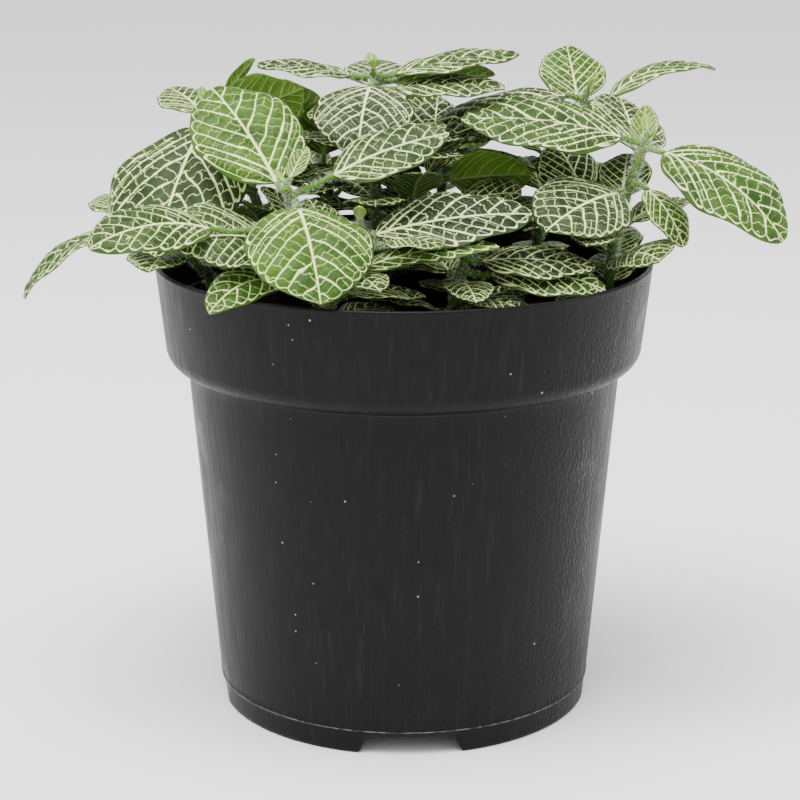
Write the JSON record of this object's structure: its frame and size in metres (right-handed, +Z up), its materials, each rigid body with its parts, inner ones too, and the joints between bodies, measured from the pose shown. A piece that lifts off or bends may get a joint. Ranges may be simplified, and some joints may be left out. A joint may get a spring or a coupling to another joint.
{
  "type": "potted nerve plant",
  "caption": "Leafy potted houseplant: round tapered plastic nursery pot with a tall collar, peat root ball, hairy stems and broad leaves with a net of pale veins.",
  "frame": {"origin": "centre of the pot's foot, on the surface it stands on", "axes": "+Z up along the pot's axis, -Y towards the plant's front, +X to its right"},
  "size_m": [0.1802, 0.1202, 0.1586],
  "materials": {
    "pot": "satin moulded black plastic with fine vertical drag lines, specks and a lighter sheen at the sides",
    "soil": "rough dark peat with crumbs and fibres",
    "stem": "soft green stem with fine white hairs",
    "leaf": "quilted velvety green leaf with raised cream veins and a paler underside"
  },
  "bodies": {
    "root": {"leaf_back_centre_dark": "leaf", "leaf_back_centre_front": "leaf", "leaf_back_centre_under": "leaf", "leaf_back_left_back": "leaf", "leaf_back_left_left": "leaf", "leaf_back_left_low": "leaf", "leaf_back_left_right": "leaf", "leaf_back_mid_back": "leaf", "leaf_back_mid_left": "leaf", "leaf_back_mid_low": "leaf", "leaf_back_mid_right": "leaf", "leaf_back_right_left": "leaf", "leaf_back_right_right": "leaf", "leaf_back_right_top": "leaf", "leaf_far_left_outer": "leaf", "leaf_far_left_tip": "leaf", "leaf_far_left_under": "leaf", "leaf_front_centre_long": "leaf", "leaf_front_centre_right": "leaf", "leaf_front_centre_small": "leaf", "leaf_front_left_front": "leaf", "leaf_front_left_hang": "leaf", "leaf_front_left_left": "leaf", "leaf_front_left_low": "leaf", "leaf_front_left_right": "leaf", "leaf_front_left_upper": "leaf", "leaf_front_right_mid": "leaf", "leaf_front_right_rim": "leaf", "leaf_left_big": "leaf", "leaf_left_blade": "leaf", "leaf_left_top": "leaf", "leaf_left_under": "leaf", "leaf_right_back": "leaf", "leaf_right_dark": "leaf", "leaf_right_left": "leaf", "leaf_right_low_dark": "leaf", "leaf_right_low_tip": "leaf", "leaf_right_lowleft": "leaf", "leaf_right_lowright": "leaf", "leaf_right_right": "leaf", "leaf_top_back": "leaf", "leaf_top_front": "leaf", "leaf_top_left": "leaf", "leaf_top_left_low": "leaf", "leaf_top_right_low": "leaf", "leaf_top_right_under": "leaf", "leaf_top_right_up": "leaf", "pot": "pot", "soil": "soil", "stem_back_centre": "stem", "stem_back_left": "stem", "stem_back_mid": "stem", "stem_back_right": "stem", "stem_far_left": "stem", "stem_front_centre": "stem", "stem_front_left": "stem", "stem_front_right": "stem", "stem_left": "stem", "stem_right": "stem", "stem_top": "stem"}
  },
  "joints": []
}
